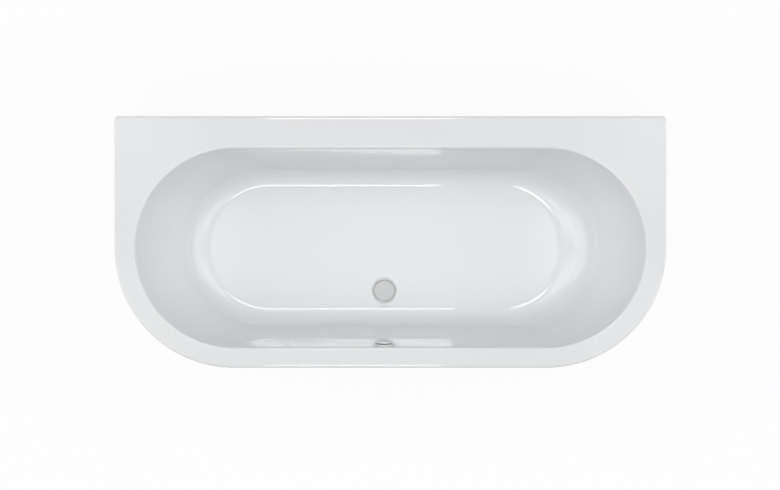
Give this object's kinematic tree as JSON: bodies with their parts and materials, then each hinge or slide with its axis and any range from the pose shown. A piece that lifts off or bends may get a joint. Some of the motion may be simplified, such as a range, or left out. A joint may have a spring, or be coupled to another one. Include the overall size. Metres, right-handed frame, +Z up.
{
  "type": "d-shaped bath",
  "caption": "Back-to-wall D-shaped bath with a flat rim, oval basin, curved front panel, pop-up waste, rotary overflow and levelling feet.",
  "frame": {"origin": "on the floor, below the middle of the rim's rectangle", "axes": "+X along the bath, +Y towards the wall behind its straight side, +Z up"},
  "size_m": [1.8, 0.82, 0.6],
  "materials": {
    "white_acrylic": "glossy sanitary acrylic, reinforced below",
    "panel_acrylic": "glossy sanitary acrylic sheet",
    "chipboard": "resin-coated chipboard",
    "batten_wood": "planed softwood",
    "galvanised_steel": "galvanised sheet steel",
    "zinc_steel": "zinc-plated steel",
    "satin_chrome": "satin chrome plate",
    "white_plastic": "moulded polypropylene",
    "grey_plastic": "moulded polypropylene",
    "foot_plastic": "moulded nylon",
    "black_rubber": "moulded rubber"
  },
  "bodies": {
    "bath": {"tub_shell": "white_acrylic", "front_panel": "panel_acrylic", "base_board": "chipboard", "board_screws": "zinc_steel", "rear_rim_batten": "batten_wood", "front_left_rim_batten": "batten_wood", "front_right_rim_batten": "batten_wood", "left_rim_batten": "batten_wood", "right_rim_batten": "batten_wood", "left_leg_bar": "galvanised_steel", "right_leg_bar": "galvanised_steel", "foot_lock_nuts": "zinc_steel", "centre_foot_plate": "galvanised_steel", "panel_clips": "white_plastic", "left_panel_stay": "galvanised_steel", "right_panel_stay": "galvanised_steel", "panel_stay_screws": "zinc_steel", "left_wall_bracket": "galvanised_steel", "right_wall_bracket": "galvanised_steel", "wall_bracket_screws": "zinc_steel", "drain_flange": "satin_chrome", "drain_flange_gasket": "black_rubber", "waste_gasket": "black_rubber", "waste_body": "white_plastic", "trap_bend": "white_plastic", "trap_cleaning_cap": "grey_plastic", "trap_outlet_elbow": "white_plastic", "trap_inlet_union": "grey_plastic", "trap_outlet_union": "grey_plastic", "outlet_socket_nut": "grey_plastic", "overflow_rosette": "satin_chrome", "rosette_screws": "zinc_steel", "overflow_gasket": "black_rubber", "overflow_body": "white_plastic", "overflow_pipe": "white_plastic", "overflow_upper_union": "grey_plastic", "overflow_lower_union": "grey_plastic"},
    "plug": {"drain_plug": "satin_chrome", "plug_stem": "zinc_steel", "plug_seal": "black_rubber"},
    "lever": {"lift_lever": "grey_plastic"},
    "control": {"overflow_knob": "satin_chrome", "control_shaft": "grey_plastic"},
    "left_front_foot": {"left_front_foot_rod": "zinc_steel", "left_front_foot_pad": "foot_plastic"},
    "left_rear_foot": {"left_rear_foot_rod": "zinc_steel", "left_rear_foot_pad": "foot_plastic"},
    "right_front_foot": {"right_front_foot_rod": "zinc_steel", "right_front_foot_pad": "foot_plastic"},
    "right_rear_foot": {"right_rear_foot_rod": "zinc_steel", "right_rear_foot_pad": "foot_plastic"},
    "centre_foot": {"centre_foot_rod": "zinc_steel", "centre_foot_pad": "foot_plastic"}
  },
  "joints": [
    {"name": "control_turn", "type": "hinge", "parent": "bath", "child": "control", "pos_m": [-0.02005, -0.3346, 0.545], "axis": [0, 0.9857, 0.1685], "range_deg": [0, 75]},
    {"name": "plug_lift", "type": "slide", "parent": "bath", "child": "plug", "axis": [0, 0, 1], "range_m": [0, 0.012]},
    {"name": "lever_rock", "type": "hinge", "parent": "bath", "child": "lever", "pos_m": [-0.02005, -0.14601, 0.114], "axis": [-1, 0, 0], "range_deg": [0, 41.33]},
    {"name": "left_front_foot_level", "type": "slide", "parent": "bath", "child": "left_front_foot", "axis": [0, 0, 1], "range_m": [-0.03, 0.01]},
    {"name": "left_rear_foot_level", "type": "slide", "parent": "bath", "child": "left_rear_foot", "axis": [0, 0, 1], "range_m": [-0.03, 0.01]},
    {"name": "right_front_foot_level", "type": "slide", "parent": "bath", "child": "right_front_foot", "axis": [0, 0, 1], "range_m": [-0.03, 0.01]},
    {"name": "right_rear_foot_level", "type": "slide", "parent": "bath", "child": "right_rear_foot", "axis": [0, 0, 1], "range_m": [-0.03, 0.01]},
    {"name": "centre_foot_level", "type": "slide", "parent": "bath", "child": "centre_foot", "axis": [0, 0, 1], "range_m": [-0.03, 0.01]}
  ],
  "couplings": [
    {"joint": "control_turn", "follows": "plug_lift", "rad_per_m": 109.08},
    {"joint": "lever_rock", "follows": "plug_lift", "rad_per_m": 60.1}
  ]
}
